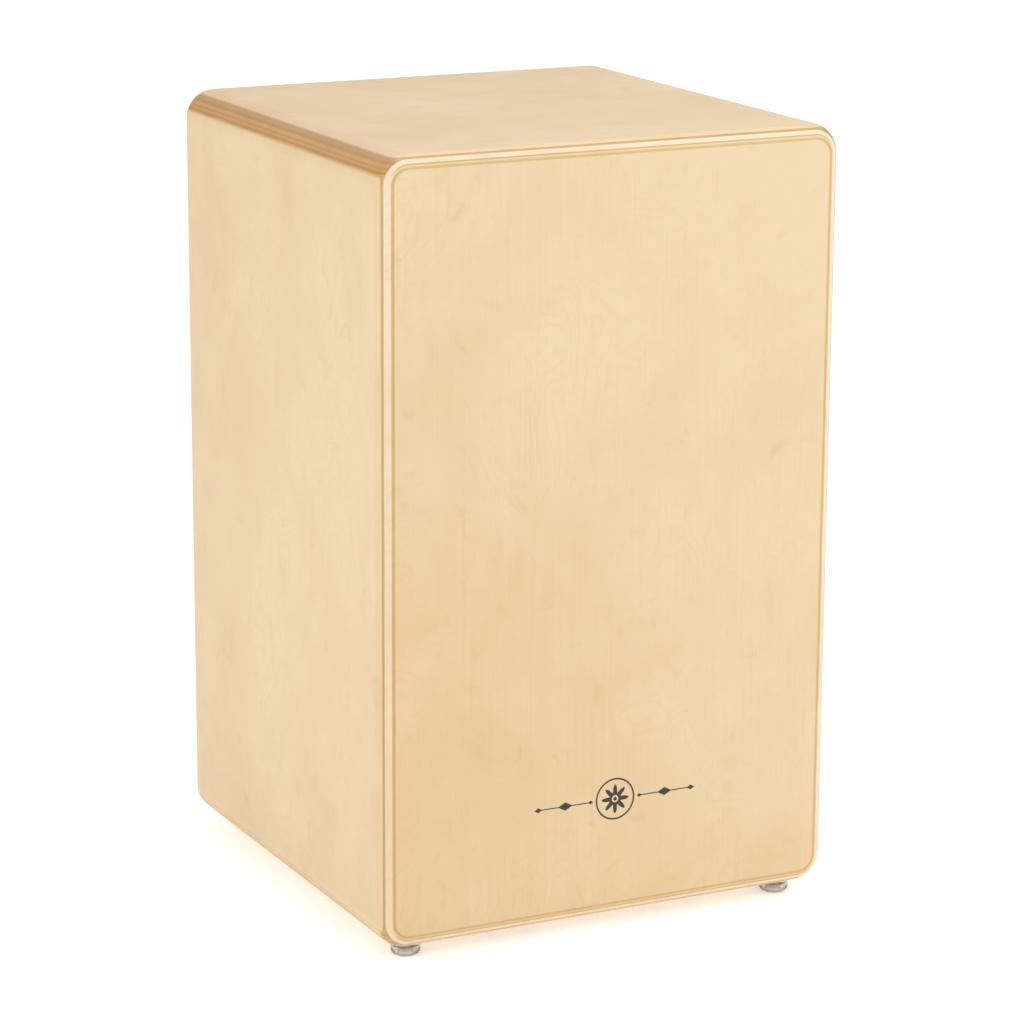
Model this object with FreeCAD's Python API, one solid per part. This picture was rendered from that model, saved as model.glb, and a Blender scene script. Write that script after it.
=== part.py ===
"""A wooden box drum with guitar strings behind its front plate.

Millimetres. +Z is up and -Y is the front, which the player strikes. The origin is on the floor under the
middle of the box. The box is birch plywood with four battens behind the front plate and four behind the
back panel. Two bars cross the inside: the upper one anchors the strings and the lower one holds the
screws that tighten them, which are turned with a hex key through four holes in the base.
"""
import FreeCAD
import Part
import math
import os

# ---- The box ----
BODY_WIDTH = 300.0
BODY_DEPTH = 295.0
BODY_HEIGHT = 471.0
FOOT_HEIGHT = 9.0
PANEL = 12.0  # nine-ply seat, base and sides
PLATE = 3.0  # three-ply front plate
BACK = 5.0  # back panel
CORNER_R = 18.0  # the four long corners, which run from front to back
FRONT_R = 10.0  # round the front plate's border
BACK_R = 8.0  # round the back panel's border

# ---- Battens and glue blocks ----
BATTEN = 12.0  # square section
BLOCK_LEG = 16.0  # legs of the triangular blocks in the long corners

# ---- Sound hole ----
HOLE_R = 60.0
HOLE_ABOVE_BASE = 290.0
HOLE_EASE = 1.5  # rounding of its outer edge

# ---- Feet ----
FOOT_R = 9.0
FOOT_EDGE_R = 2.8
FRONT_FEET_INSET = 24.0  # from the sides
BACK_FEET_INSET = 60.0
FOOT_INSET_Y = 20.0
FOOT_SINK_R = 5.0  # counterbore for the screw's head
FOOT_SINK = 4.6
FOOT_BORE_R = 1.9
WASHER_R = 4.6
WASHER = 0.8
FOOT_SCREW_R = 1.75
FOOT_SCREW_BITE = 8.5  # its length in the base

# ---- Bars across the inside ----
BAR_GAP = 7.0  # from the front plate to both bars
BAR_DEPTH = 22.0
RAIL_UP = 39.0  # tension rail above the base
RAIL_HEIGHT = 40.0
ANCHOR_DOWN = 35.0  # anchor bar below the seat
ANCHOR_HEIGHT = 18.0
CLEAT_WIDTH = 30.0
CLEAT_DEPTH = 20.0
BAR_SCREW_R = 2.0
BAR_SCREW_LENGTH = 36.0
BAR_EASE = 1.0

# ---- Wood screws, as shares of the shank's radius ----
HEAD_RATIO = 2.0
PAN_HEIGHT = 1.3
PAN_DOME = ((1.2, 1.0), (1.8, 0.6), (2.0, 0.0))  # radii, each with its share of the head's height
TIP_LENGTH = 2.0
RECESS_WIDTH = 0.5
RECESS_REACH = 1.2
RECESS_DEPTH = 0.7

# ---- Tuning screws and string carriages ----
PAIR_X = 55.0  # middle of each pair of strings
LOW_SPREAD = 12.0  # from the middle of a pair to its string, at the rail
HIGH_SPREAD = 28.0  # and at the anchor bar
SCREW_INSET = 10.0  # from the rail's front face to the screws' axes
SCREW_R = 2.5
SCREW_HEAD_R = 4.25
SCREW_HEAD = 5.0
SCREW_HEAD_EASE = 0.5
SCREW_TIP = 5.0  # its end, held in the rail's upper web
SCREW_TIP_SPACE = 1.0  # over its end
HEX_KEY = 4.0
HEX_DEPTH = 3.0
KEY_HOLE_R = 4.0
THRUST_WASHER_R = 5.0
THRUST_WASHER = 1.0
RUNNING = 0.05  # radial clearance of a turning screw
WEB = 8.0  # wood under and over a pocket
CARRIAGE_WIDTH = 10.0
CARRIAGE_HEIGHT = 12.0
CARRIAGE_BACK = 5.5  # from the screw's axis to the carriage's back
CARRIAGE_NOSE_GAP = 2.0  # from the nose to the front plate
CARRIAGE_EASE = 0.5
TRAVEL = 4.0  # each way
TRAVEL_MARGIN = 2.0
POCKET_SIDE = 0.1
POCKET_BACK = 0.5
CLAMP_R = 1.5
CLAMP_KEY = 1.5
CLAMP_KEY_DEPTH = 1.2

# ---- Strings ----
STRING_R = 0.5
STRING_GAP = 0.3  # from a string to the front plate, and to what it runs over
STRING_HOLE_R = 0.8
STRING_BACKSET = 4.5  # string's axis behind the front plate, at both of its ends
STRING_TAIL = 1.0
STRING_BEND = 1.0  # length of each side of a bend
BRIDGE_HEIGHT = 8.0
BRIDGE_FLAT = 0.2  # what its rounded nose leaves flat
ANCHOR_PLATE = 1.5
ANCHOR_PLATE_MARGIN = 12.0  # past the outer strings
ANCHOR_PLATE_DEPTH = 24.0
ANCHOR_SCREW_R = 1.5
ANCHOR_SCREW_BITE = 10.0
BALL_R = 2.0
BALL_WIDTH = 3.4
BALL_WAIST_R = 1.5
BALL_BORE_R = 0.8

# ---- Planes that follow ----
X_OUT = BODY_WIDTH / 2
X_IN = X_OUT - PANEL
X_BAR = X_IN - BATTEN
Z_LOW = FOOT_HEIGHT
Z_TOP = FOOT_HEIGHT + BODY_HEIGHT
Z_FLOOR = Z_LOW + PANEL
Z_CEILING = Z_TOP - PANEL
Y_FRONT = -BODY_DEPTH / 2
Y_PLATE = Y_FRONT + PLATE
Y_BACK = BODY_DEPTH / 2
Y_PANEL = Y_BACK - BACK
Y_BAR = Y_PLATE + BAR_GAP
Y_CLEAT = Y_BAR + BAR_DEPTH
Z_RAIL = Z_LOW + RAIL_UP + PANEL
Z_ANCHOR = Z_CEILING - ANCHOR_DOWN
POCKET_HEIGHT = CARRIAGE_HEIGHT + 2 * (TRAVEL + TRAVEL_MARGIN)
SCREW_Y = Y_BAR + SCREW_INSET
STRING_Y = Y_PLATE + STRING_BACKSET
STRING_FRONT_Y = Y_PLATE + STRING_GAP + STRING_R
BRIDGE_Z = Z_ANCHOR - ANCHOR_HEIGHT + BRIDGE_HEIGHT / 2
BALL_Z = Z_ANCHOR + ANCHOR_PLATE + BALL_R
STRING_END_Z = BALL_Z - BALL_R - STRING_GAP

NEAR = 1e-6  # how close two positions are to count as one
X = FreeCAD.Vector(1, 0, 0)
Y = FreeCAD.Vector(0, 1, 0)
Z = FreeCAD.Vector(0, 0, 1)
SIDES = {"left": -1, "right": 1}


def vec(x, y, z):
    return FreeCAD.Vector(x, y, z)


def block(x0, x1, y0, y1, z0, z1):
    """A box from its limits, given in either order."""
    low = vec(min(x0, x1), min(y0, y1), min(z0, z1))
    return Part.makeBox(abs(x1 - x0), abs(y1 - y0), abs(z1 - z0), low)


def rod(radius, start, axis, length):
    return Part.makeCylinder(radius, length, start, axis)


def eased(shape, size, keep=lambda edge: True):
    """The shape with its chosen straight edges chamfered."""
    return shape.makeChamfer(size, [edge for edge in shape.Edges if keep(edge)])


def along(axis):
    """Picks the straight edges that run along one axis."""
    def test(edge):
        run = edge.Vertexes[-1].Point - edge.Vertexes[0].Point
        return run.Length > 0 and run.cross(axis).Length < NEAR
    return test


def hexagon(across, start, axis, depth):
    """A hexagonal prism that starts at a point and runs along an axis."""
    radius = across / math.sqrt(3)
    side = X if abs(axis.x) < 0.5 else Y
    other = axis.cross(side)
    ring = []
    for step in range(7):
        turn = math.radians(60 * step)
        ring.append(start + side * (radius * math.cos(turn)) + other * (radius * math.sin(turn)))
    return Part.Face(Part.makePolygon(ring)).extrude(axis * depth)


def turned(outline, start, axis):
    """A solid turned from (radius, distance) points, about an axis that leaves a start point."""
    points = [vec(radius, 0, distance) for radius, distance in outline]
    solid = Part.Face(Part.makePolygon(points + points[:1])).revolve(vec(0, 0, 0), Z, 360)
    turn = FreeCAD.Rotation(Z, axis)
    solid.Placement = FreeCAD.Placement(start, turn)
    return solid


def cross_recess(radius, start, axis):
    """The crossed slots in the head of a screw with that shank."""
    half = radius * RECESS_WIDTH / 2
    reach = radius * RECESS_REACH
    depth = radius * RECESS_DEPTH
    arms = block(-reach, reach, -half, half, 0, depth)
    arms = arms.fuse(block(-half, half, -reach, reach, 0, depth))
    arms.Placement = FreeCAD.Placement(start, FreeCAD.Rotation(Z, axis))
    return arms


def countersunk_form(radius, length, start, axis):
    """The room that a wood screw takes, its flat head flush with the start point."""
    head_r = radius * HEAD_RATIO
    outline = [(0, 0), (head_r, 0), (radius, head_r - radius), (radius, length - radius * TIP_LENGTH),
               (0, length)]
    return turned(outline, start, axis)


def pan_screw(radius, bite, start, axis):
    """A wood screw whose domed head stands against the start point's plane."""
    head = radius * PAN_HEIGHT
    dome = [(radius * reach, -head * height) for reach, height in PAN_DOME]
    outline = [(0, -head)] + dome + [(radius, 0), (radius, bite - radius * TIP_LENGTH), (0, bite)]
    return turned(outline, start, axis).cut(cross_recess(radius, start - axis * head, axis))


def rounded_path(points, trims):
    """Straight runs through the points, joined at the inner ones by tangent arcs."""
    edges = []
    here = points[0]
    for before, corner, after, trim in zip(points, points[1:], points[2:], trims):
        arriving = (corner - before).normalize()
        leaving = (after - corner).normalize()
        half_turn = arriving.getAngle(leaving) / 2
        radius = trim / math.tan(half_turn)
        inward = (leaving - arriving).normalize()
        start = corner - arriving * trim
        end = corner + leaving * trim
        middle = corner + inward * (radius / math.cos(half_turn) - radius)
        edges.append(Part.LineSegment(here, start).toShape())
        edges.append(Part.Arc(start, middle, end).toShape())
        here = end
    edges.append(Part.LineSegment(here, points[-1]).toShape())
    return Part.Wire(edges)


def outer_form():
    """The finished outside of the box, which every panel is trimmed to."""
    form = block(-X_OUT, X_OUT, Y_FRONT, Y_BACK, Z_LOW, Z_TOP)
    form = form.makeFillet(CORNER_R, [edge for edge in form.Edges if along(Y)(edge)])
    for plane, radius in ((Y_FRONT, FRONT_R), (Y_BACK, BACK_R)):
        border = [edge for edge in form.Edges
                  if abs(edge.BoundBox.YMin - plane) < NEAR and abs(edge.BoundBox.YMax - plane) < NEAR]
        form = form.makeFillet(radius, border)
    return form


def foot_places():
    """Middle of each foot, with the name of its corner."""
    for row, y, inset in (("front", Y_FRONT + FOOT_INSET_Y, FRONT_FEET_INSET),
                          ("back", Y_BACK - FOOT_INSET_Y, BACK_FEET_INSET)):
        for side, sign in SIDES.items():
            yield row + "_" + side, sign * (X_OUT - inset), y


def string_places():
    """Number, x at the rail, x at the anchor bar and outward side of each string, from the left."""
    number = 1
    for pair in (-PAIR_X, PAIR_X):
        for side in (-1, 1):
            yield number, pair + side * LOW_SPREAD, pair + side * HIGH_SPREAD, side
            number += 1


def panels():
    """Seat, base, sides, front plate and back panel."""
    form = outer_form()
    seat = block(-X_OUT, X_OUT, Y_PLATE, Y_PANEL, Z_CEILING, Z_TOP)
    base = block(-X_OUT, X_OUT, Y_PLATE, Y_PANEL, Z_LOW, Z_FLOOR)
    for _, x, _, _ in string_places():
        base = base.cut(rod(KEY_HOLE_R, vec(x, SCREW_Y, Z_LOW), Z, PANEL))
    for _, x, y in foot_places():
        base = base.cut(foot_screw(x, y))
    front = block(-X_OUT, X_OUT, Y_FRONT, Y_PLATE, Z_LOW, Z_TOP)
    back = block(-X_OUT, X_OUT, Y_PANEL, Y_BACK, Z_LOW, Z_TOP).common(form)
    hole_centre = vec(0, Y_PANEL, Z_LOW + HOLE_ABOVE_BASE)
    back = back.cut(rod(HOLE_R, hole_centre, Y, BACK))
    rim = [edge for edge in back.Edges
           if edge.BoundBox.YMin > Y_BACK - NEAR and edge.BoundBox.XMax < HOLE_R + NEAR]
    made = {"seat_panel": seat.common(form), "base_panel": base.common(form),
            "front_plate": front.common(form), "back_panel": back.makeFillet(HOLE_EASE, rim)}
    for side, sign in SIDES.items():
        panel = block(sign * X_IN, sign * X_OUT, Y_PLATE, Y_PANEL, Z_FLOOR, Z_CEILING)
        made[side + "_side_panel"] = panel.common(form)
    return made


def battens():
    """Square battens behind the front plate and the back panel, and blocks in the long corners."""
    made = {}
    for row, y, inward in (("front", Y_PLATE, 1), ("back", Y_PANEL, -1)):
        y_in = y + inward * BATTEN
        made[row + "_batten_top"] = block(-X_IN, X_IN, y, y_in, Z_CEILING - BATTEN, Z_CEILING)
        made[row + "_batten_bottom"] = block(-X_IN, X_IN, y, y_in, Z_FLOOR, Z_FLOOR + BATTEN)
        for side, sign in SIDES.items():
            upright = block(sign * X_BAR, sign * X_IN, y, y_in, Z_FLOOR + BATTEN, Z_CEILING - BATTEN)
            made[row + "_batten_" + side] = upright
    y0 = Y_PLATE + BATTEN
    for level, z, inward in (("top", Z_CEILING, -1), ("bottom", Z_FLOOR, 1)):
        for side, sign in SIDES.items():
            corner = vec(sign * X_IN, y0, z)
            ring = [corner, corner - X * (sign * BLOCK_LEG), corner + Z * (inward * BLOCK_LEG), corner]
            face = Part.Face(Part.makePolygon(ring))
            made["corner_block_" + level + "_" + side] = face.extrude(Y * (Y_PANEL - BATTEN - y0))
    return made


def foot_screw(x, y):
    head_seat = vec(x, y, FOOT_SINK - WASHER)
    bite = FOOT_HEIGHT - FOOT_SINK + WASHER + FOOT_SCREW_BITE
    return pan_screw(FOOT_SCREW_R, bite, head_seat, Z)


def feet():
    """Clear rubber feet, each on a screw and washer sunk in its underside."""
    made = {}
    screws = []
    washers = []
    for name, x, y in foot_places():
        foot = rod(FOOT_R, vec(x, y, 0), Z, FOOT_HEIGHT)
        foot = foot.makeFillet(FOOT_EDGE_R, [edge for edge in foot.Edges if edge.BoundBox.ZMax < NEAR])
        foot = foot.cut(rod(FOOT_SINK_R, vec(x, y, 0), Z, FOOT_SINK))
        foot = foot.cut(rod(FOOT_BORE_R, vec(x, y, 0), Z, FOOT_HEIGHT))
        made["foot_" + name] = foot
        screws.append(foot_screw(x, y))
        washer = rod(WASHER_R, vec(x, y, FOOT_SINK - WASHER), Z, WASHER)
        washers.append(washer.cut(rod(FOOT_BORE_R, vec(x, y, FOOT_SINK - WASHER), Z, WASHER)))
    made["foot_screws"] = Part.makeCompound(screws)
    made["foot_washers"] = Part.makeCompound(washers)
    return made


def crossbar(name, z0, z1, levels):
    """A beech bar between the side battens, glued to a cleat at each end and screwed at each level."""
    bar = block(-X_BAR, X_BAR, Y_BAR, Y_BAR + BAR_DEPTH, z0, z1)
    made = {name: eased(bar, BAR_EASE, along(X))}
    for side, sign in SIDES.items():
        x_in = sign * (X_IN - CLEAT_WIDTH)
        made[name + "_cleat_" + side] = block(sign * X_IN, x_in, Y_CLEAT, Y_CLEAT + CLEAT_DEPTH, z0, z1)
    screws = []
    x_screw = X_BAR - (CLEAT_WIDTH - BATTEN) / 2
    for level in levels:
        for sign in SIDES.values():
            head = vec(sign * x_screw, Y_BAR, level)
            room = countersunk_form(BAR_SCREW_R, BAR_SCREW_LENGTH, head, Y)
            made = {piece: shape.cut(room) for piece, shape in made.items()}
            screws.append(room.cut(cross_recess(BAR_SCREW_R, head, Y)))
    made[name + "_screws"] = Part.makeCompound(screws)
    return made


def tension_rail():
    """The lower bar, with an open-fronted pocket for each carriage and a bore for its screw."""
    rail_top = Z_RAIL + RAIL_HEIGHT
    screw_inset = RAIL_HEIGHT / 6
    made = crossbar("tension_rail", Z_RAIL, rail_top, (Z_RAIL + screw_inset, rail_top - screw_inset))
    rail = made["tension_rail"]
    half = CARRIAGE_WIDTH / 2 + POCKET_SIDE
    pocket_z = Z_RAIL + WEB
    pocket_back = SCREW_Y + CARRIAGE_BACK + POCKET_BACK
    bore = WEB + POCKET_HEIGHT + SCREW_TIP + SCREW_TIP_SPACE
    for _, x, _, _ in string_places():
        rail = rail.cut(block(x - half, x + half, Y_BAR, pocket_back, pocket_z, pocket_z + POCKET_HEIGHT))
        rail = rail.cut(rod(SCREW_R + RUNNING, vec(x, SCREW_Y, Z_RAIL), Z, bore))
    made["tension_rail"] = rail
    return made


def tuners():
    """Tuning screws with their thrust washers, and the carriages that they pull down."""
    made = {}
    washers = []
    head_top = Z_RAIL - THRUST_WASHER
    carriage_z = Z_RAIL + WEB + TRAVEL_MARGIN + TRAVEL
    nose_y = Y_PLATE + CARRIAGE_NOSE_GAP
    back_y = SCREW_Y + CARRIAGE_BACK
    half = CARRIAGE_WIDTH / 2
    for number, x, _, side in string_places():
        axis_low = vec(x, SCREW_Y, head_top - SCREW_HEAD)
        length = THRUST_WASHER + WEB + POCKET_HEIGHT + SCREW_TIP
        head = rod(SCREW_HEAD_R, axis_low, Z, SCREW_HEAD)
        screw = eased(head, SCREW_HEAD_EASE, lambda edge: edge.BoundBox.ZMax < head_top - NEAR)
        screw = screw.fuse(rod(SCREW_R, vec(x, SCREW_Y, head_top), Z, length))
        made["tuning_screw_%d" % number] = screw.cut(hexagon(HEX_KEY, axis_low, Z, HEX_DEPTH))
        washer = rod(THRUST_WASHER_R, vec(x, SCREW_Y, head_top), Z, THRUST_WASHER)
        washers.append(washer.cut(rod(SCREW_R + RUNNING, vec(x, SCREW_Y, head_top), Z, THRUST_WASHER)))

        carriage = block(x - half, x + half, nose_y, back_y, carriage_z, carriage_z + CARRIAGE_HEIGHT)
        carriage = eased(carriage, CARRIAGE_EASE)
        carriage = carriage.cut(rod(SCREW_R + RUNNING, vec(x, SCREW_Y, carriage_z), Z, CARRIAGE_HEIGHT))
        carriage = carriage.cut(rod(STRING_HOLE_R, vec(x, STRING_Y, carriage_z), Z, CARRIAGE_HEIGHT))
        clamp_z = carriage_z + CARRIAGE_HEIGHT / 2
        clamp_end = vec(x + side * STRING_R, STRING_Y, clamp_z)
        outward = X * side
        clamp_length = half - STRING_R
        clamp = rod(CLAMP_R, clamp_end, outward, clamp_length)
        made["string_carriage_%d" % number] = carriage.cut(clamp)
        key_start = clamp_end + outward * clamp_length
        made["string_clamp_screw_%d" % number] = clamp.cut(
            hexagon(CLAMP_KEY, key_start, -outward, CLAMP_KEY_DEPTH))
    made["thrust_washers"] = Part.makeCompound(washers)
    return made


def notch_y():
    """Where a string's axis crosses the middle of the anchor plate."""
    rise = (Z_ANCHOR + ANCHOR_PLATE / 2 - BRIDGE_Z) / (STRING_END_Z - BRIDGE_Z)
    return STRING_FRONT_Y + rise * (STRING_Y - STRING_FRONT_Y)


def anchor():
    """The upper bar with its bridge, and the notched steel plate that holds the strings' ball ends."""
    half = PAIR_X + HIGH_SPREAD + ANCHOR_PLATE_MARGIN
    made = crossbar("anchor_bar", Z_ANCHOR - ANCHOR_HEIGHT, Z_ANCHOR, (Z_ANCHOR - ANCHOR_HEIGHT / 2,))
    plate_front = Y_PLATE + CARRIAGE_NOSE_GAP
    plate = block(-half, half, plate_front, plate_front + ANCHOR_PLATE_DEPTH,
                  Z_ANCHOR, Z_ANCHOR + ANCHOR_PLATE)
    balls = []
    for _, _, x, _ in string_places():
        slot = block(x - STRING_HOLE_R, x + STRING_HOLE_R, plate_front, notch_y(),
                     Z_ANCHOR, Z_ANCHOR + ANCHOR_PLATE)
        slot = slot.fuse(rod(STRING_HOLE_R, vec(x, notch_y(), Z_ANCHOR), Z, ANCHOR_PLATE))
        plate = plate.cut(slot)
        rim = BALL_WIDTH / 2
        outline = [(BALL_BORE_R, -rim), (BALL_R, -rim), (BALL_R, -rim / 2), (BALL_WAIST_R, 0),
                   (BALL_R, rim / 2), (BALL_R, rim), (BALL_BORE_R, rim)]
        balls.append(turned(outline, vec(x, STRING_Y, BALL_Z), X))
    screws = []
    screw_y = Y_BAR + BAR_DEPTH / 2
    for x in (-half + ANCHOR_PLATE_MARGIN / 2, -PAIR_X, PAIR_X, half - ANCHOR_PLATE_MARGIN / 2):
        top = vec(x, screw_y, Z_ANCHOR + ANCHOR_PLATE)
        screws.append(pan_screw(ANCHOR_SCREW_R, ANCHOR_SCREW_BITE, top, -Z))
    for screw in screws:
        plate = plate.cut(screw)
        made["anchor_bar"] = made["anchor_bar"].cut(screw)
    bridge_front = STRING_FRONT_Y + STRING_R + STRING_GAP
    bridge = block(-half, half, bridge_front, Y_BAR, BRIDGE_Z - BRIDGE_HEIGHT / 2,
                   BRIDGE_Z + BRIDGE_HEIGHT / 2)
    nose = [edge for edge in bridge.Edges if along(X)(edge) and edge.BoundBox.YMax < bridge_front + NEAR]
    made["string_bridge"] = bridge.makeFillet((BRIDGE_HEIGHT - BRIDGE_FLAT) / 2, nose)
    made["anchor_plate"] = plate
    made["anchor_plate_screws"] = Part.makeCompound(screws)
    made["string_ball_ends"] = Part.makeCompound(balls)
    return made


def strings():
    """Guitar strings: clamped in a carriage, over the bridge by the front plate, up to the ball end."""
    made = {}
    carriage_z = Z_RAIL + WEB + TRAVEL_MARGIN + TRAVEL
    for number, low_x, high_x, _ in string_places():
        points = [vec(low_x, STRING_Y, carriage_z - STRING_TAIL),
                  vec(low_x, STRING_Y, carriage_z + CARRIAGE_HEIGHT + STRING_BEND),
                  vec(high_x, STRING_FRONT_Y, BRIDGE_Z),
                  vec(high_x, STRING_Y, STRING_END_Z)]
        path = rounded_path(points, (STRING_BEND, STRING_BEND))
        profile = Part.Wire(Part.Circle(points[0], Z, STRING_R).toShape())
        made["string_%d" % number] = path.makePipeShell([profile], True, False)
    return made


os.makedirs("parts", exist_ok=True)
for group in (panels(), battens(), feet(), tension_rail(), tuners(), anchor(), strings()):
    for node, shape in group.items():
        shape.exportStep("parts/" + node + ".step")
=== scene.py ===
"""A birch plywood box drum with strings behind its front plate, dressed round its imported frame.

Metres. +Z is up and -Y is the front, which the player strikes.
"""
import bpy
import math
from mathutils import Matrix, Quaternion, Vector


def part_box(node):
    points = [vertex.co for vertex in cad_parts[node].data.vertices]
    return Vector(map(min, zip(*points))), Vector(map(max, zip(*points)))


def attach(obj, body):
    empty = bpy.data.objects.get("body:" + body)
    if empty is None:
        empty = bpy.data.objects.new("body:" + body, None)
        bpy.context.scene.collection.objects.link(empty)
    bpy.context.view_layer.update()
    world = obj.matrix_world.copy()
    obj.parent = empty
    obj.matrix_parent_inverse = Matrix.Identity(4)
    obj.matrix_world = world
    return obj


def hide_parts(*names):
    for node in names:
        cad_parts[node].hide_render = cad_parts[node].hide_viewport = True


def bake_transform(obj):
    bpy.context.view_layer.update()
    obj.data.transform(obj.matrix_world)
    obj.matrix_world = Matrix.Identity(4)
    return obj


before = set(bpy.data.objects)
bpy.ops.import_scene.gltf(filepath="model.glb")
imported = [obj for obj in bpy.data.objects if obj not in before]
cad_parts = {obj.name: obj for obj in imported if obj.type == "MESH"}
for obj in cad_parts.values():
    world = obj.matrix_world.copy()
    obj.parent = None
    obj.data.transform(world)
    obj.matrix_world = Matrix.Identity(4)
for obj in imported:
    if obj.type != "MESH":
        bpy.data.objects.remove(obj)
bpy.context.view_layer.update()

# ---- Camera ----
# A long lens to the left of the front plate, looking slightly down, so that the front, the left side
# and the seat all show with little convergence.
AZIMUTH, ELEVATION, ROLL = map(math.radians, (-26.62, 14.31, 0.31))
LOOK_AT, DISTANCE, FOCAL_LENGTH_MM = Vector((0.0070, 0, 0.2254)), 2.3613, 133.36
back = Vector((math.sin(AZIMUTH) * math.cos(ELEVATION), -math.cos(AZIMUTH) * math.cos(ELEVATION),
               math.sin(ELEVATION)))
lens = bpy.data.cameras.new("long_lens")
lens.lens = FOCAL_LENGTH_MM
camera = bpy.data.objects.new("camera", lens)
camera.location = LOOK_AT + back * DISTANCE
camera.rotation_mode = "QUATERNION"
camera.rotation_quaternion = (-back).to_track_quat("-Z", "Y") @ Quaternion((0, 0, 1), ROLL)
bpy.context.scene.collection.objects.link(camera)
bpy.context.scene.camera = camera

# ---- Studio ----
# A plain white floor, lit a little from below, in a white room that is brightest at the horizon. Three
# soft boxes, at the right, the left and overhead, add only a little, so every shadow is faint.
HORIZON_LIGHT, ROOM_LIGHT = 1.02, 0.71
HORIZON_BAND = 0.22  # the sine of the angle up from the horizon at which its own light has faded
FLOOR_REACH, FLOOR_GLOW = 60.0, 0.44
DRUM_MIDDLE = Vector((0, 0, 0.24))
# Each soft box's name, place, side and watts.
SOFT_BOXES = (("right_soft_box", (1.5, -2.0, 1.5), 1.6, 12.5),
              ("left_soft_box", (-2.2, -0.9, 1.2), 1.4, 11),
              ("overhead_soft_box", (0.3, -0.1, 2.6), 1.6, 24))


def linear(colour):
    """An sRGB hex colour as linear RGBA."""
    parts = [int(colour[i:i + 2], 16) / 255 for i in (1, 3, 5)]
    return [c / 12.92 if c <= 0.04045 else ((c + 0.055) / 1.055) ** 2.4 for c in parts] + [1.0]


def add_node(material, kind, sockets, output=0, **traits):
    """Adds one shader node and returns one of its outputs. Each socket is given a value or linked."""
    node = material.node_tree.nodes.new("ShaderNode" + kind)
    for trait, value in traits.items():
        setattr(node, trait, value)
    for socket, value in sockets.items():
        if isinstance(value, bpy.types.NodeSocket):
            material.node_tree.links.new(value, node.inputs[socket])
        else:
            node.inputs[socket].default_value = value
    return node.outputs[output]


def finish_as(name, colour, roughness, metallic=0.0, **more):
    """A material and the inputs of its Principled shader, whose constant sockets are set here."""
    material = bpy.data.materials.new(name)
    material.use_nodes = True
    inputs = material.node_tree.nodes["Principled BSDF"].inputs
    settings = {"Base Color": linear(colour), "Roughness": roughness, "Metallic": metallic, **more}
    for socket, value in settings.items():
        inputs[socket].default_value = value
    return material, inputs


bpy.context.scene.view_settings.view_transform = "Standard"
room = bpy.data.worlds.new("white_room")
room.use_nodes = True
room_light = room.node_tree.nodes["Background"].inputs
room_light["Color"].default_value = (1, 1, 1, 1)
upward = add_node(room, "SeparateXYZ", {0: add_node(room, "TexCoord", {}, "Generated")}, "Z")
glow = add_node(room, "MapRange", {"Value": upward, "From Max": HORIZON_BAND, "To Min": HORIZON_LIGHT,
                                   "To Max": ROOM_LIGHT}, interpolation_type="SMOOTHSTEP")
room.node_tree.links.new(glow, room_light["Strength"])
bpy.context.scene.world = room
for name, place, side, watts in SOFT_BOXES:
    lamp = bpy.data.lights.new(name, "AREA")
    lamp.size, lamp.energy = side, watts
    soft_box = bpy.data.objects.new(name, lamp)
    soft_box.location = place
    soft_box.rotation_mode = "QUATERNION"
    soft_box.rotation_quaternion = (DRUM_MIDDLE - soft_box.location).to_track_quat("-Z", "Y")
    bpy.context.scene.collection.objects.link(soft_box)
floor_mesh = bpy.data.meshes.new("floor")
corners = [(x * FLOOR_REACH, y * FLOOR_REACH, 0) for x, y in ((-1, -1), (1, -1), (1, 1), (-1, 1))]
floor_mesh.from_pydata(corners, [], [(0, 1, 2, 3)])
floor = bpy.data.objects.new("floor", floor_mesh)
bpy.context.scene.collection.objects.link(floor)
floor_paint, _ = finish_as("matt_white_floor_lit_from_below", "#F2F2F2", 0.9,
                           **{"Emission Color": (1, 1, 1, 1), "Emission Strength": FLOOR_GLOW})
floor.data.materials.append(floor_paint)

# ---- Panels ----
# Seat, base and sides of 12 mm birch plywood, a 3 mm front plate and a 5 mm back panel, glued edge to
# face, rounded over as one box and sprayed with clear satin lacquer. The rounding cuts through the
# plies, so they show as bands beside pale face veneer.
MM = 0.001
X, Y, Z = 0, 1, 2
BIRCH, BIRCH_DEEP, GLUE = "#DCC7A0", "#E4CAA3", "#A9824E"
LACQUER = {"IOR": 1.5, "Coat Weight": 0.2, "Coat Roughness": 0.34, "Coat IOR": 1.5}
# The figure's noise fields, as (size in mm, stretch along the grain, detail, roughness, distortion). They
# are clouding, the growth rings that the peeling knife crossed, the patches where they show, mineral
# flecks and the pores. Pores are 0.1 mm wide, too fine to show, so they are drawn 1.1 mm wide.
FIELDS = {"cloud": (75, 1.2, 6.0, 0.62, 0.4), "contour": (110, 1.3, 4.0, 0.5, 0.4),
          "patch": (80, 1.1, 1.0, 0.5, 0.3), "fleck": (20, 1.1, 4.0, 0.6, 0.6),
          "pores": (1.1, 70.0, 3.0, 0.5, 0.0)}
# How steeply each field turns into marks, as (gain, offset), and how far each mark lightens the wood, or
# darkens it where the number is below zero.
RING_PHASE, RING_EDGE, PATCH_EDGE, FLECK_EDGE = 170.0, (1.6, -0.6), (6.0, -2.9), (5.0, -2.95)
BASE_TONE, CLOUD_TONE, RING_TONE, FLECK_TONE, PORE_TONE = 0.11, 0.80, -0.08, -0.24, 0.22
BASE_ROUGH, PORE_ROUGH, PORE_BUMP, PORE_DEPTH = 0.38, 0.16, 0.25, 0.02 * MM
# The plies aren't quite flat, and end grain shows from a slight tilt of the surface, as (gain, offset).
PLY_WANDER, END_GRAIN_EDGE = (0.16, 0.92), (4.0, -0.6)


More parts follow.
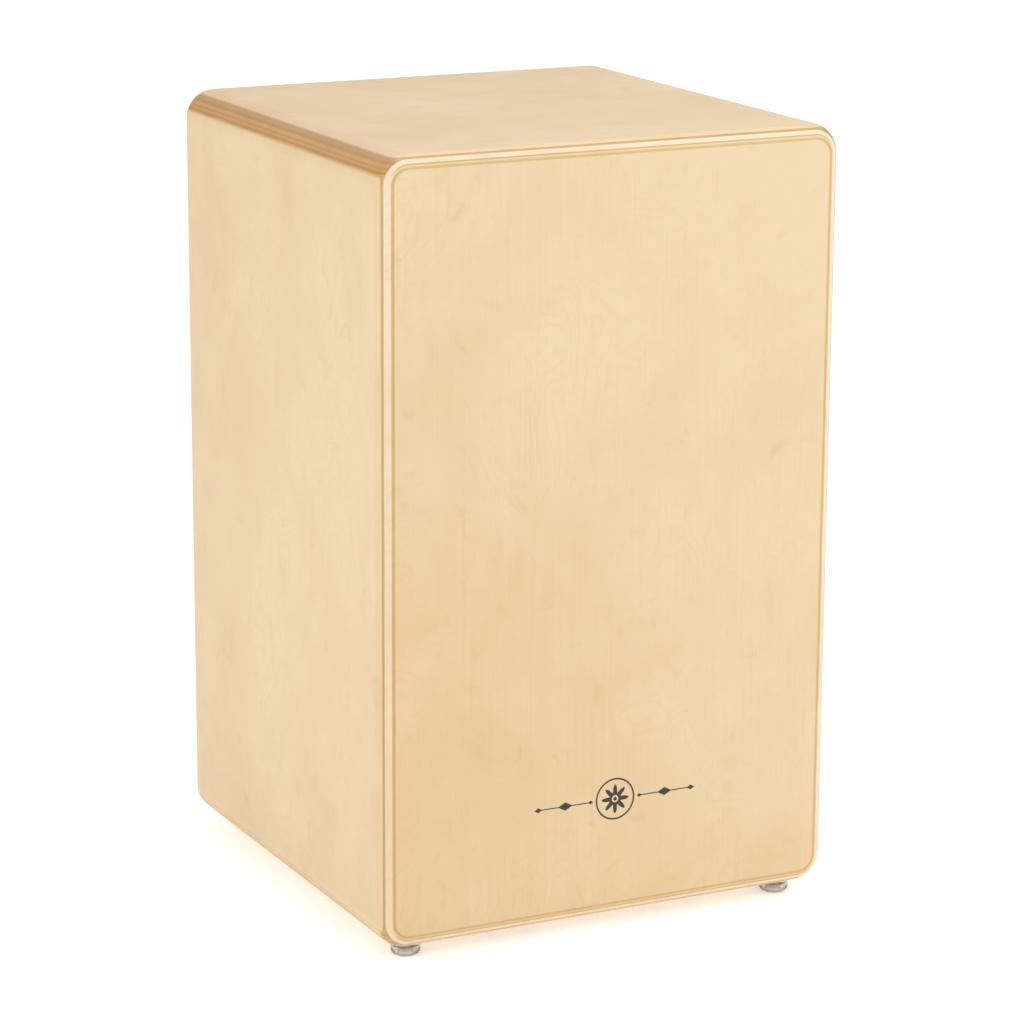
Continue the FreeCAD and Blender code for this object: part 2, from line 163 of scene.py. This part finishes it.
def birch_plywood(name, grain, across, face, inward, thickness, plies, joints, shift, tone_and_painted_light_slope=(0, 0, 0)):
    """Rotary-cut birch plywood under satin lacquer, which gives it soft clouds and a low even gloss.

    grain is the face veneer's axis and across the axis through the sheet, whose outer face is at face
    and runs inward. plies are (depth in mm, long-grain colour, end-grain colour), joints are the (axis,
    plane, darkness, width in mm) of its glue lines, and the last argument is the change of tone per
    metre. That change is partly the wood's own and partly painted light, which makes a panel lighter on
    its better-lit side."""
    wood, inputs = finish_as(name, BIRCH, 0.42, **LACQUER)
    place = add_node(wood, "TexCoord", {}, "Object")
    drawn = dict(zip("xyz", add_node(wood, "SeparateXYZ", {0: place}).node.outputs))
    for field, (size_mm, stretch, detail, rough, distortion) in FIELDS.items():
        scale = [1000 / size_mm] * 3
        scale[grain] /= stretch
        spread = add_node(wood, "Mapping", {"Location": shift, "Scale": scale, "Vector": place})
        drawn[field] = add_node(wood, "TexNoise", {"Vector": spread, "Scale": 1.0, "Detail": detail,
                                                   "Roughness": rough, "Distortion": distortion})
    # Tone changes gradually across the panel. This is partly the wood's own and partly painted light.
    drawn["slow"] = add_node(wood, "VectorMath", {0: place, 1: tone_and_painted_light_slope}, "Value", operation="DOT_PRODUCT")
    # Each row names its result, the operation, whether it is clamped, and what it works on. Depth runs
    # from 0 at the outer face to 1 at the inner one.
    for result, operation, clamp, *terms in (
            ("ring", "MULTIPLY", False, "contour", RING_PHASE), ("ring", "SINE", False, "ring"),
            ("ring", "MULTIPLY_ADD", True, "ring", *RING_EDGE),
            ("patch", "MULTIPLY_ADD", True, "patch", *PATCH_EDGE),
            ("ring", "MULTIPLY", False, "ring", "patch"),
            ("fleck", "MULTIPLY_ADD", True, "fleck", *FLECK_EDGE),
            ("tone", "MULTIPLY_ADD", False, "cloud", CLOUD_TONE, "slow"),
            ("tone", "ADD", False, "tone", BASE_TONE),
            ("tone", "MULTIPLY_ADD", False, "ring", RING_TONE, "tone"),
            ("tone", "MULTIPLY_ADD", False, "fleck", FLECK_TONE, "tone"),
            ("tone", "MULTIPLY_ADD", True, "pores", PORE_TONE, "tone"),
            ("rough", "MULTIPLY_ADD", False, "pores", PORE_ROUGH, BASE_ROUGH),
            ("depth", "MULTIPLY_ADD", True, "xyz"[across], inward / thickness,
             -face * inward / thickness),
            ("wander", "MULTIPLY_ADD", False, "cloud", *PLY_WANDER),
            ("depth", "MULTIPLY", True, "depth", "wander")):
        drawn[result] = add_node(wood, "Math", {i: drawn.get(t, t) for i, t in enumerate(terms)},
                                 operation=operation, use_clamp=clamp)

    # The plies by depth: long grain shows golden, and end grain brown.
    cut = []
    for column in (1, 2):
        cut.append(add_node(wood, "ValToRGB", {0: drawn["depth"]}))
        stops = cut[-1].node.color_ramp.elements
        stops[0].color, stops[1].color = linear(plies[0][column]), linear(plies[-1][column])
        for ply in plies[1:-1]:
            stops.new(ply[0] * MM / thickness).color = linear(ply[column])
    normal = add_node(wood, "SeparateXYZ", {0: add_node(wood, "TexCoord", {}, "Normal")}).node.outputs
    endness = add_node(wood, "Math", {0: normal[grain]}, operation="ABSOLUTE")
    endness = add_node(wood, "Math", {0: endness, 1: END_GRAIN_EDGE[0], 2: END_GRAIN_EDGE[1]},
                       operation="MULTIPLY_ADD", use_clamp=True)
    ply_colour = add_node(wood, "Mix", {0: endness, 6: cut[0], 7: cut[1]}, 2, data_type="RGBA")
    figure = add_node(wood, "Mix", {0: drawn["tone"], 6: linear(BIRCH_DEEP), 7: (1, 1, 1, 1)}, 2,
                      data_type="RGBA")
    colour = add_node(wood, "Mix", {0: 1.0, 6: ply_colour, 7: figure}, 2, data_type="RGBA",
                      blend_type="MULTIPLY")
    for axis, plane, darkness, wide in joints:
        gap = add_node(wood, "Math", {0: drawn["xyz"[axis]], 1: plane}, operation="SUBTRACT")
        gap = add_node(wood, "Math", {0: gap}, operation="ABSOLUTE")
        line = add_node(wood, "Math", {0: gap, 1: -2 * darkness / (wide * MM), 2: darkness},
                        operation="MULTIPLY_ADD", use_clamp=True)
        colour = add_node(wood, "Mix", {0: line, 6: colour, 7: linear(GLUE)}, 2, data_type="RGBA")
    bump = add_node(wood, "Bump", {"Strength": PORE_BUMP, "Distance": PORE_DEPTH,
                                   "Height": drawn["pores"]})
    for source, socket in ((colour, "Base Color"), (drawn["rough"], "Roughness"), (bump, "Normal")):
        wood.node_tree.links.new(source, inputs[socket])
    return wood, drawn, colour, inputs


def dress(material, *names):
    """Gives whole CAD pieces one material."""
    for name in names:
        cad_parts[name].data.materials.clear()
        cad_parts[name].data.materials.append(material)


# Nine plies, whose depths run from the outer face. A thin golden ply lies under the face veneer.
SHEET_PLIES = ((0.0, BIRCH, BIRCH), (1.9, BIRCH, "#DCC7A6"), (2.2, "#BF9A5C", "#CDB08C"),
               (2.7, "#BF9A5C", "#B89A72"), (3.2, "#CFB27A", "#B4905F"), (4.0, "#D2B988", "#BC9865"),
               (4.3, "#D2B988", "#B68D54"), (5.7, "#D2B988", "#B48A50"), (6.2, "#C9A866", "#C49D68"),
               (7.5, "#C9A866", "#C2985F"), (7.9, "#D2B988", "#BA8C4C"), (8.6, "#D2B988", "#BA8C4C"),
               (8.9, "#C9A866", "#C99A5A"), (9.4, "#C9A866", "#C99A5A"), (9.8, "#D2B988", "#BC8D44"),
               (11.1, "#D2B988", "#B68630"), (11.5, BIRCH, "#C8A058"), (12.0, BIRCH, "#C8A058"))
# The plate is a little redder. Its golden ply shows near its face at the sides, and further in at the
# top and bottom.
FACE, CORE, CUT, JOINT = "#D9C29C", "#DFCFB3", "#C6A878", "#BF9F70"
PLATE_PLIES = ((0.0, FACE, FACE), (0.02, FACE, "#CDB17A"), (0.06, FACE, "#D4BC8C"),
               (0.10, "#CBAE70", FACE), (0.20, "#C2A25E", FACE), (0.50, "#CEA66C", FACE),
               (0.62, CORE, FACE), (0.78, CORE, "#C6A264"), (1.02, CORE, "#BE985A"), (1.14, CORE, CORE),
               (2.65, CORE, CORE), (2.80, CUT, JOINT), (3.0, CUT, JOINT))
BACK_PLIES = ((0.0, BIRCH, BIRCH), (0.9, BIRCH, BIRCH), (1.0, "#CFAF74", "#B8935C"),
              (1.95, "#CFAF74", "#B8935C"), (2.05, "#D6C096", "#C6A672"), (2.95, "#D6C096", "#C6A672"),
              (3.05, "#CFAF74", "#B8935C"), (3.95, "#CFAF74", "#B8935C"), (4.05, BIRCH, BIRCH),
              (5.0, BIRCH, BIRCH))
low, high = {}, {}
for node in ("seat_panel", "base_panel", "left_side_panel", "right_side_panel", "back_panel",
             "front_plate"):
    low[node], high[node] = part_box(node)
sheet = high["seat_panel"].z - low["seat_panel"].z
# The darkness and width in mm of the fine glue lines at the plate and back, and of the soft shade where
# the sides meet the seat and base.
FINE_LINE, SOFT_LINE = (0.8, 0.35), (0.55, 2.8)
row_joints = ((Y, low["seat_panel"].y, *FINE_LINE), (Y, high["seat_panel"].y, *FINE_LINE))
side_joints = (*row_joints, (Z, low["left_side_panel"].z, *SOFT_LINE),
               (Z, high["left_side_panel"].z, *SOFT_LINE))
# The seat and the left side change tone across themselves, partly as painted light. The seat is lighter
# towards the front and right, and the left side towards the front and top.
dress(birch_plywood("lacquered_birch_plywood_seat", X, Z, high["seat_panel"].z, -1, sheet, SHEET_PLIES,
                    row_joints, (3.1, 0.4, 1.7), (0.3, -0.5, 0))[0], "seat_panel")
dress(birch_plywood("lacquered_birch_plywood_base", Y, Z, low["base_panel"].z, 1, sheet, SHEET_PLIES,
                    row_joints, (5.3, 2.2, 0.6))[0], "base_panel")
dress(birch_plywood("lacquered_birch_plywood_left", Z, X, low["left_side_panel"].x, 1, sheet, SHEET_PLIES,
                    side_joints, (1.9, 4.4, 2.5), (0, -0.5, 0.15))[0], "left_side_panel")
dress(birch_plywood("lacquered_birch_plywood_right", Z, X, high["right_side_panel"].x, -1, sheet,
                    SHEET_PLIES, side_joints, (7.7, 1.3, 3.9))[0], "right_side_panel")
dress(birch_plywood("lacquered_birch_back_panel", Z, Y, high["back_panel"].y, -1,
                    high["back_panel"].y - low["back_panel"].y, BACK_PLIES, (), (4.2, 6.1, 5.0))[0],
      "back_panel")
# The plate grows lighter towards the right and top. This is partly the wood's own tone and partly painted
# light.
plate_wood, plate_drawn, plate_colour, plate_inputs = birch_plywood(
    "lacquered_birch_front_plate", Z, Y, low["front_plate"].y, 1,
    high["front_plate"].y - low["front_plate"].y, PLATE_PLIES, (), (9.3, 5.5, 1.4), (0.9, 0, 0.7))
dress(plate_wood, "front_plate")

# ---- Printed ornament ----
# A rosette in a ring between two ruled lines with lozenges, screen-printed in black ink on the front
# plate before the lacquer goes on.
# Sizes are in mm. A lozenge has its middle's distance from the rosette, half width and half height.
BLACK_INK, INK_EDGE, INK_DEPTH = "#1B1714", 0.20, 0.4 * MM
ORNAMENT_X, ORNAMENT_Z = 3.0, 83.0
RING_R, RING_WIDTH, EYE_R, EYE_GAP_R = 12.5, 1.1, 1.2, 2.2
PETALS, PETAL_R, PETAL_WAVE = 8.0, 9.0, 0.28
RULE_FROM, RULE_TO, RULE_HALF = 17.0, 50.0, 0.35
LOZENGES = ((33.5, 5.0, 2.6), (RULE_TO + 1.5, 2.6, 1.6), (RULE_FROM - 0.5, 1.8, 1.2))
# Each stroke works on the results before it. u and v are mm from the rosette's eye, and each shape ends
# as its distance outside its own edge.
strokes = [("u", "MULTIPLY_ADD", "x", 1 / MM, -ORNAMENT_X),
           ("v", "MULTIPLY_ADD", "z", 1 / MM, -ORNAMENT_Z),
           ("aside", "ABSOLUTE", "u"), ("upright", "ABSOLUTE", "v"), ("vv", "MULTIPLY", "v", "v"),
           ("radius", "MULTIPLY_ADD", "u", "u", "vv"), ("radius", "SQRT", "radius"),
           ("petal", "ARCTAN2", "v", "u"), ("petal", "MULTIPLY", "petal", PETALS),
           ("petal", "COSINE", "petal"),
           ("petal", "MULTIPLY_ADD", "petal", -PETAL_WAVE * PETAL_R, (PETAL_WAVE - 1) * PETAL_R),
           ("petal", "ADD", "petal", "radius"), ("eye_gap", "SUBTRACT", EYE_GAP_R, "radius"),
           ("petal", "MAXIMUM", "petal", "eye_gap"), ("eye", "SUBTRACT", "radius", EYE_R),
           ("ring", "SUBTRACT", "radius", RING_R), ("ring", "ABSOLUTE", "ring"),
           ("ring", "SUBTRACT", "ring", RING_WIDTH / 2),
           ("rule", "SUBTRACT", "aside", (RULE_FROM + RULE_TO) / 2), ("rule", "ABSOLUTE", "rule"),
           ("rule", "SUBTRACT", "rule", (RULE_TO - RULE_FROM) / 2),
           ("rule_side", "SUBTRACT", "upright", RULE_HALF), ("nearest", "MAXIMUM", "rule", "rule_side")]
for middle, half_wide, half_high in LOZENGES:
    strokes += [("lozenge", "SUBTRACT", "aside", middle), ("lozenge", "ABSOLUTE", "lozenge"),
                ("lozenge", "MULTIPLY_ADD", "lozenge", half_high / half_wide, "upright"),
                ("lozenge", "SUBTRACT", "lozenge", half_high),
                ("nearest", "MINIMUM", "nearest", "lozenge")]
strokes += [("nearest", "MINIMUM", "nearest", shape) for shape in ("petal", "eye", "ring")]
strokes += [("printed", "MULTIPLY_ADD", "nearest", -1 / INK_EDGE, 0.5),
            ("printed", "MAXIMUM", "printed", 0.0), ("printed", "MINIMUM", "printed", 1.0),
            ("faced", "LESS_THAN", "y", low["front_plate"].y + INK_DEPTH),
            ("printed", "MULTIPLY", "printed", "faced")]
for result, operation, *terms in strokes:
    terms = {i: plate_drawn.get(term, term) for i, term in enumerate(terms)}
    plate_drawn[result] = add_node(plate_wood, "Math", terms, operation=operation)
inked = add_node(plate_wood, "Mix", {0: plate_drawn["printed"], 6: plate_colour, 7: linear(BLACK_INK)}, 2,
                 data_type="RGBA")
plate_wood.node_tree.links.new(inked, plate_inputs["Base Color"])

# ---- Battens and glue blocks ----
# Square spruce battens behind the front plate and the back panel, and three-sided spruce blocks in the
# long corners. They are planed, glued in and left bare, so the growth rings show as close soft lines.
SPRUCE = ("#DCC498", "#B48A56", 2.0, 0.62)  # early wood, late wood, ring spacing in mm, roughness
PITH_BESIDE = (0.11, 0.13, 0.12)
# Fibres are 0.03 mm wide, too fine to show, so they are drawn 1.1 mm wide and a dozen times as long.
FIBRES_PER_METRE, FIBRE_STRETCH, FIBRE_BUMP, FIBRE_DEPTH = 900.0, 0.08, 0.4, 0.05 * MM
# Late wood fills the end of each ring, and ray flecks are short spots with soft edges. A share or an
# edge in brackets is (gain, offset).
LATE_FROM, LATE_FULL, LATE_SHARE, FIBRE_SHARE = 0.45, 0.97, (0.55, -0.22), 0.5
RAY_WIDE, RAY_LONG, RAY_EDGE = 1.1 * MM, 3.2 * MM, (-4.0, 0.9)
WAVE_TURN = 20  # the wave texture's own factor between its distance and its phase


def planed_wood(name, grain, early, late, ring_mm, roughness, fleck=None):
    """Bare planed wood, whose growth rings run round a pith beside the piece, along the grain's axis."""
    wood, inputs = finish_as(name, early, roughness)
    place = add_node(wood, "TexCoord", {}, "Object")
    stretch, pith, rays = [1.0] * 3, list(PITH_BESIDE), [1 / RAY_WIDE] * 3
    stretch[grain], pith[grain], rays[grain] = FIBRE_STRETCH, 0.0, 1 / RAY_LONG
    along = add_node(wood, "Mapping", {"Location": (0.31, 0.17, 0.23), "Scale": stretch, "Vector": place})
    beside = add_node(wood, "Mapping", {"Location": pith, "Vector": place})
    rings = add_node(wood, "TexWave", {"Scale": 2 * math.pi / (WAVE_TURN * ring_mm * MM),
                                       "Distortion": 2.2, "Detail": 2.0, "Detail Scale": 0.3,
                                       "Vector": beside}, "Fac",
                     wave_type="RINGS", rings_direction="XYZ"[grain], wave_profile="SAW")
    fibre = add_node(wood, "TexNoise", {"Scale": FIBRES_PER_METRE, "Detail": 3.0, "Vector": along})
    share = add_node(wood, "MapRange", {"Value": rings, "From Min": LATE_FROM, "From Max": LATE_FULL})
    share = add_node(wood, "Math", {0: share, 1: LATE_SHARE[0], 2: LATE_SHARE[1]},
                     operation="MULTIPLY_ADD")
    blend = add_node(wood, "Math", {0: fibre, 1: FIBRE_SHARE, 2: share}, operation="MULTIPLY_ADD",
                     use_clamp=True)
    colour = add_node(wood, "Mix", {0: blend, 6: linear(early), 7: linear(late)}, 2, data_type="RGBA")
    if fleck:
        ray_place = add_node(wood, "Mapping", {"Scale": rays, "Vector": place})
        ray = add_node(wood, "TexVoronoi", {"Scale": 1.0, "Randomness": 1.0, "Vector": ray_place})
        share = add_node(wood, "Math", {0: ray, 1: RAY_EDGE[0], 2: RAY_EDGE[1]}, operation="MULTIPLY_ADD",
                         use_clamp=True)
        colour = add_node(wood, "Mix", {0: share, 6: colour, 7: linear(fleck)}, 2, data_type="RGBA")
    bump = add_node(wood, "Bump", {"Strength": FIBRE_BUMP, "Distance": FIBRE_DEPTH, "Height": fibre})
    wood.node_tree.links.new(colour, inputs["Base Color"])
    wood.node_tree.links.new(bump, inputs["Normal"])
    return wood


hands, levels, rows = ("left", "right"), ("top", "bottom"), ("front", "back")
dress(planed_wood("planed_spruce_upright", Z, *SPRUCE),
      *(row + "_batten_" + hand for row in rows for hand in hands))
dress(planed_wood("planed_spruce_level", X, *SPRUCE),
      *(row + "_batten_" + level for row in rows for level in levels),
      *(bar + "_cleat_" + hand for bar in ("tension_rail", "anchor_bar") for hand in hands))
dress(planed_wood("planed_spruce_corner_block", Y, *SPRUCE),
      *("corner_block_%s_%s" % (level, hand) for level in levels for hand in hands))

# ---- Bars ----
# Two beech bars across the inside, planed and eased, each screwed to a spruce cleat at both ends.
# Beech is pinkish tan with short darker flecks where the saw crossed its rays.
dress(planed_wood("planed_beech", X, "#CDA27C", "#B58560", 3.2, 0.5, "#9A6A47"),
      "tension_rail", "anchor_bar")

# ---- Bridge ----
# A rosewood strip with a rounded nose, glued to the upper bar, for the strings to run over. It is dark
# and fine-grained, and oiled to a low sheen.
dress(planed_wood("oiled_rosewood", X, "#6B3F2C", "#35190F", 1.4, 0.36), "string_bridge")

# ---- Metal finishes ----
# Black oxide on the tuning and clamp screws, bright zinc on washers, wood screws and the anchor plate,
# and bare machined brass on the carriages and ball ends. Each has fine tool or grit marks, stretched
# along the cut, and faint stains about 6 mm across.
STAINS_PER_METRE, STAIN_SHADE = 160.0, 0.72
# Tool and grit marks are under 0.1 mm wide, too fine to show, so they are drawn 0.35 to 0.5 mm wide.
MARK_ROUGH, MARK_BUMP, MARK_DEPTH = 0.3, 0.3, 0.02 * MM


def machined(name, colour, roughness, mark_mm, stretch, metallic=1.0):
    """Metal with fine marks that vary its roughness and surface."""
    metal, inputs = finish_as(name, colour, roughness, metallic)
    place = add_node(metal, "TexCoord", {}, "Object")
    marks = add_node(metal, "Mapping", {"Scale": stretch, "Vector": place})
    grit = add_node(metal, "TexNoise", {"Scale": 1 / (mark_mm * MM), "Detail": 3.0, "Vector": marks})
    stain = add_node(metal, "TexNoise", {"Scale": STAINS_PER_METRE, "Detail": 2.0, "Vector": place})
    rough = add_node(metal, "Math", {0: grit, 1: MARK_ROUGH, 2: roughness - MARK_ROUGH / 2},
                     operation="MULTIPLY_ADD")
    bright = linear(colour)
    dull = [STAIN_SHADE * c for c in bright[:3]] + [1.0]
    tint = add_node(metal, "Mix", {0: stain, 6: dull, 7: bright}, 2, data_type="RGBA")
    bump = add_node(metal, "Bump", {"Strength": MARK_BUMP, "Distance": MARK_DEPTH, "Height": grit})
    for source, socket in ((rough, "Roughness"), (tint, "Base Color"), (bump, "Normal")):
        metal.node_tree.links.new(source, inputs[socket])
    return metal


black_oxide = machined("black_oxide_steel", "#3A3A3C", 0.38, 0.5, (1, 1, 1), 0.9)
bright_zinc = machined("bright_zinc_plated_steel", "#C9CCCB", 0.26, 0.4, (0.15, 1, 1))
milled_brass = machined("milled_brass", "#D8B36A", 0.28, 0.35, (1, 0.12, 1))
dress(bright_zinc, "foot_washers", "foot_screws", "thrust_washers", "anchor_plate", "anchor_plate_screws",
      "anchor_bar_screws", "tension_rail_screws")
strings = range(1, 5)
dress(milled_brass, "string_ball_ends", *("string_carriage_%d" % number for number in strings))
dress(black_oxide, *("string_clamp_screw_%d" % number for number in strings))

# ---- Tuning screws ----
# Four M5 socket-head screws, black from the oxide bath. Each has a knurled head, a hexagonal socket for
# a 4 mm key and a rolled thread of 0.8 mm pitch, and stands in the lower bar.
AROUND = [2 * math.pi * i / 36 for i in range(36)]  # a multiple of the socket's six sides
SHANK_R, PITCH, THREAD_DEPTH, THREAD_STEPS = 2.5 * MM, 0.8 * MM, 0.49 * MM, 4  # steps in each turn
SOCKET_ACROSS, SOCKET_DEPTH, HEAD_HEIGHT = 4.0 * MM, 3.0 * MM, 5.0 * MM
HEAD_EASE, KNURL_DEPTH = 0.5 * MM, 0.13 * MM


def turned(name, centre, profile):
    """A closed upright mesh from a profile of (height, radius). A radius may be a list, one per angle."""
    points, count = [], len(AROUND)
    for z, radius in profile:
        radii = radius if isinstance(radius, list) else [radius] * count
        points += [(centre.x + r * math.cos(a), centre.y + r * math.sin(a), z)
                   for r, a in zip(radii, AROUND)]
    faces = [[r * count + i, r * count + (i + 1) % count, (r + 1) * count + (i + 1) % count,
              (r + 1) * count + i] for r in range(len(profile) - 1) for i in range(count)]
    faces += [list(range(count))[::-1], list(range(len(points) - count, len(points)))]
    mesh = bpy.data.meshes.new(name)
    mesh.from_pydata(points, [], faces)
    mesh.polygons.foreach_set("use_smooth", [True] * len(faces))
    piece = bpy.data.objects.new(name, mesh)
    bpy.context.scene.collection.objects.link(piece)
    return piece


hexagon = [SOCKET_ACROSS / 2 / math.cos((a + math.pi / 6) % (math.pi / 3) - math.pi / 6) for a in AROUND]
for number in strings:
    screw_low, screw_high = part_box("tuning_screw_%d" % number)
    head_r, head_top = (screw_high.x - screw_low.x) / 2, screw_low.z + HEAD_HEIGHT
    knurled = [head_r - KNURL_DEPTH * (i % 2) for i in range(len(AROUND))]
    profile = [(screw_low.z + SOCKET_DEPTH, hexagon), (screw_low.z, hexagon),
               (screw_low.z, head_r - HEAD_EASE), (screw_low.z + HEAD_EASE, head_r),
               (screw_low.z + 2 * HEAD_EASE, knurled), (head_top - HEAD_EASE, knurled),
               (head_top - HEAD_EASE / 2, head_r), (head_top, head_r), (head_top, SHANK_R - THREAD_DEPTH)]
    length = screw_high.z - head_top
    steps = int(length / PITCH * THREAD_STEPS)
    for z in (head_top + length * step / steps for step in range(1, steps)):
        turns = [(z / PITCH - a / (2 * math.pi)) % 1.0 for a in AROUND]
        profile.append((z, [SHANK_R - THREAD_DEPTH * (1 - abs(2 * turn - 1)) for turn in turns]))
    profile.append((screw_high.z, SHANK_R - THREAD_DEPTH))
    screw = turned("threaded_tuning_screw_%d" % number, (screw_low + screw_high) / 2, profile)
    screw.data.materials.append(black_oxide)
    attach(screw, "tuner_%d" % number)
    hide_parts("tuning_screw_%d" % number)

# ---- Strings ----
# Four wound guitar strings of 1 mm, silver-plated winding over a steel core. Each is clamped in its
# carriage, runs up behind the front plate, over the bridge and through the anchor plate, and ends in a
# lock of twisted core wire that loops round its brass ball.
STRING_R, BEND, RUN_PARTS = 0.5 * MM, 1.0 * MM, 28
TWIST_R, TWIST_LONG, TWIST_WIRE_R, TWIST_TURNS = 0.45 * MM, 9.0 * MM, 0.22 * MM, 14
LOOP_R, LOOP_WIRE_R, LOOP_STEPS = 1.72 * MM, 0.20 * MM, 32
# The winding wire is 0.33 mm across, so its ridges are that far apart.
WINDING_PITCH, RIDGE_BUMP, RIDGE_DEPTH = 0.33 * MM, 0.8, 0.05 * MM
SILVER, PAINTED_GROOVE_SHADE = "#C4BFB6", "#6E6A64"
winding, winding_inputs = finish_as("silver_plated_winding", SILVER, 0.30, 1.0)
height = add_node(winding, "SeparateXYZ", {0: add_node(winding, "TexCoord", {}, "Object")}, "Z")
ridges = add_node(winding, "Math", {0: height, 1: 2 * math.pi / WINDING_PITCH}, operation="MULTIPLY")
ridges = add_node(winding, "Math", {0: ridges}, operation="SINE")
# The troughs between the ridges are mixed towards the darker silver. This is painted shade in the grooves
# between the turns.
shade = add_node(winding, "Math", {0: ridges, 1: 0.2, 2: 0.8}, operation="MULTIPLY_ADD")
tint = add_node(winding, "Mix", {0: shade, 6: linear(PAINTED_GROOVE_SHADE), 7: linear(SILVER)}, 2,
                data_type="RGBA")
bump = add_node(winding, "Bump", {"Strength": RIDGE_BUMP, "Distance": RIDGE_DEPTH, "Height": ridges})
winding.node_tree.links.new(tint, winding_inputs["Base Color"])
winding.node_tree.links.new(bump, winding_inputs["Normal"])
core_wire = machined("tinned_core_wire", "#BDBBB6", 0.3, 0.4, (1, 1, 0.1))


def wire(name, points, radius, closed=False):
    """Round wire along points, as a mesh."""
    curve = bpy.data.curves.new(name, "CURVE")
    curve.dimensions = "3D"
    curve.bevel_depth, curve.bevel_resolution, curve.use_fill_caps = radius, 2, True
    spline = curve.splines.new("POLY")
    spline.points.add(len(points) - 1)
    for point, spot in zip(spline.points, points):
        point.co = (*spot, 1)
    spline.use_cyclic_u = closed
    route = bpy.data.objects.new(name + "_route", curve)
    mesh = bpy.data.meshes.new_from_object(route)
    bpy.data.objects.remove(route)
    piece = bpy.data.objects.new(name, mesh)
    bpy.context.scene.collection.objects.link(piece)
    mesh.polygons.foreach_set("use_smooth", [True] * len(mesh.polygons))
    return piece


ball_middle = sum(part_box("string_ball_ends"), Vector()) / 2
bridge_low, bridge_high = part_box("string_bridge")
for number in strings:
    string_low, string_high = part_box("string_%d" % number)
    carriage_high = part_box("string_carriage_%d" % number)[1]
    low_x = sum(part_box("tuning_screw_%d" % number), Vector()).x / 2
    high_x = max(string_low.x + STRING_R, string_high.x - STRING_R, key=lambda x: abs(x - low_x))
    corners = [Vector((low_x, ball_middle.y, string_low.z)),
               Vector((low_x, ball_middle.y, carriage_high.z + BEND)),
               Vector((high_x, string_low.y + STRING_R, (bridge_low.z + bridge_high.z) / 2)),
               Vector((high_x, ball_middle.y, string_high.z))]
    path = [corners[0]]
    for before, corner, after in zip(corners, corners[1:], corners[2:]):
        start = corner + (before - corner).normalized() * BEND
        end = corner + (after - corner).normalized() * BEND
        if corner == corners[2]:
            path += [path[-1].lerp(start, step / RUN_PARTS) for step in range(1, RUN_PARTS)]
        path += [start * (1 - t) ** 2 + corner * 2 * t * (1 - t) + end * t * t
                 for t in (0.0, 0.25, 0.5, 0.75, 1.0)]
    path.append(corners[3])
    string = wire("wound_string_%d" % number, path, STRING_R)
    string.data.materials.append(winding)
    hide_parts("string_%d" % number)
    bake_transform(string)
    lock, lock_steps = [], 10 * TWIST_TURNS
    for step in range(lock_steps + 1):
        turn = 2 * math.pi * step / 10
        lock.append(Vector((high_x + TWIST_R * math.cos(turn), ball_middle.y + TWIST_R * math.sin(turn),
                            string_high.z - TWIST_LONG * (1 - step / lock_steps))))
    ball = Vector((high_x, ball_middle.y, ball_middle.z))
    loop = [ball + LOOP_R * Vector((0, math.cos(turn), math.sin(turn)))
            for turn in (2 * math.pi * step / LOOP_STEPS for step in range(LOOP_STEPS))]
    for piece in (wire("string_lock_twist_%d" % number, lock, TWIST_WIRE_R),
                  wire("string_ball_loop_%d" % number, loop, LOOP_WIRE_R, True)):
        piece.data.materials.append(core_wire)
        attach(piece, "box")

# ---- Feet ----
# Four feet of clear moulded rubber, a little smoky, with a rounded lower edge. A zinc-plated screw and
# washer are sunk in each, and show through it.
HAZE = 3 * MM  # the haze's clouds are this wide
rubber, rubber_inputs = finish_as("clear_moulded_rubber", "#EADFD2", 0.14,
                                  **{"Transmission Weight": 0.78, "IOR": 1.5})
rubber_place = add_node(rubber, "TexCoord", {}, "Object")
haze = add_node(rubber, "TexNoise", {"Scale": 1 / HAZE, "Detail": 3.0, "Vector": rubber_place})
rough = add_node(rubber, "Math", {0: haze, 1: 0.2, 2: 0.05}, operation="MULTIPLY_ADD")
tint = add_node(rubber, "Mix", {0: haze, 6: linear("#D2C0AC"), 7: linear("#FBF5EE")}, 2, data_type="RGBA")
rubber.node_tree.links.new(rough, rubber_inputs["Roughness"])
rubber.node_tree.links.new(tint, rubber_inputs["Base Color"])
dress(rubber, *("foot_%s_%s" % (row, hand) for row in rows for hand in hands))
